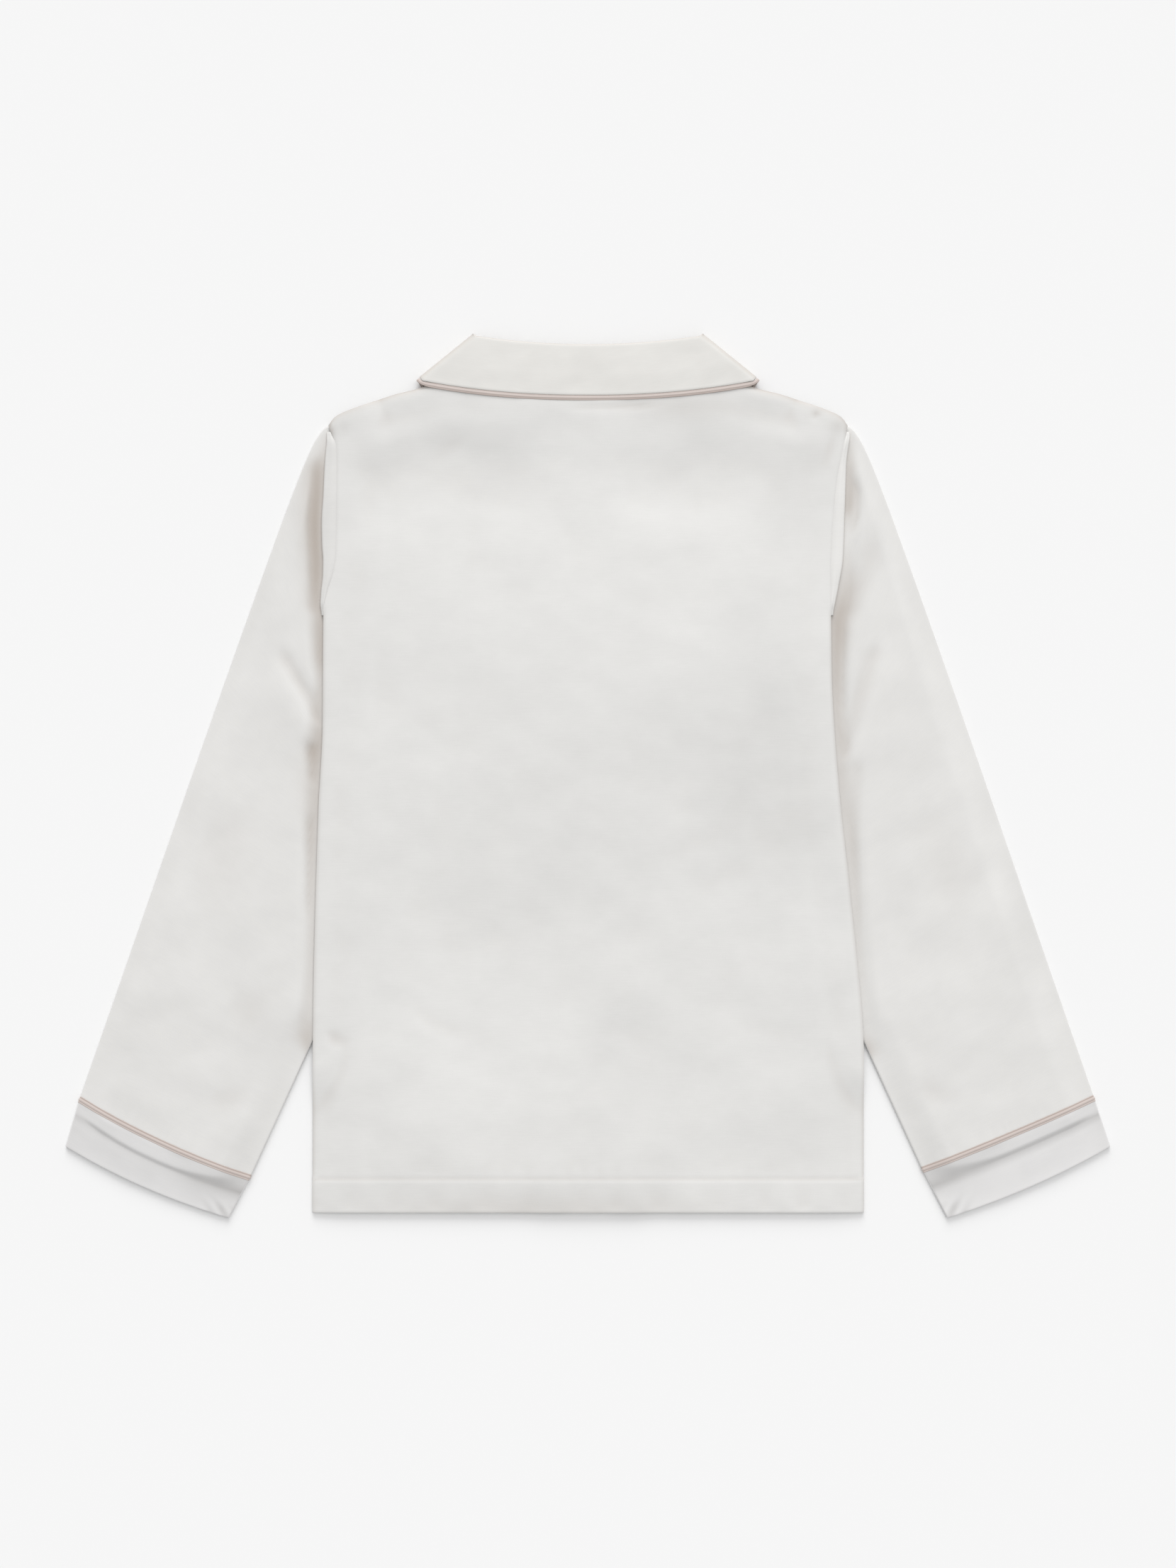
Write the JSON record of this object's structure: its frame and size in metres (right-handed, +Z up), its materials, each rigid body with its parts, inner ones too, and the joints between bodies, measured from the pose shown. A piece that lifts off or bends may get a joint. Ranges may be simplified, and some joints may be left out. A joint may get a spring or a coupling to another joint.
{
  "type": "pyjama jacket",
  "caption": "Long-sleeved satin pyjama jacket laid flat on its front, with a piped turn-down collar, piped cuffs and a straight hem.",
  "frame": {"origin": "centre of the bounding box in plan, on the surface that the jacket lies on", "axes": "+X across the jacket from the wearer's left sleeve to the right one, +Y from hem to collar, +Z up out of the surface, towards the back of the jacket"},
  "size_m": [0.6632, 0.5609, 0.0075],
  "materials": {
    "satin": "ivory-white satin weave with a soft sheen",
    "piping": "beige satin piping",
    "button": "ivory, polished"
  },
  "bodies": {
    "root": {"back": "satin", "front_left": "satin", "front_right": "satin", "sleeve_left": "satin", "sleeve_right": "satin", "cuff_left": "satin", "cuff_right": "satin", "collar": "satin", "cuff_piping_left": "piping", "cuff_piping_right": "piping", "collar_piping": "piping", "button_1": "button", "button_2": "button", "button_3": "button", "button_4": "button", "button_5": "button"}
  },
  "joints": []
}
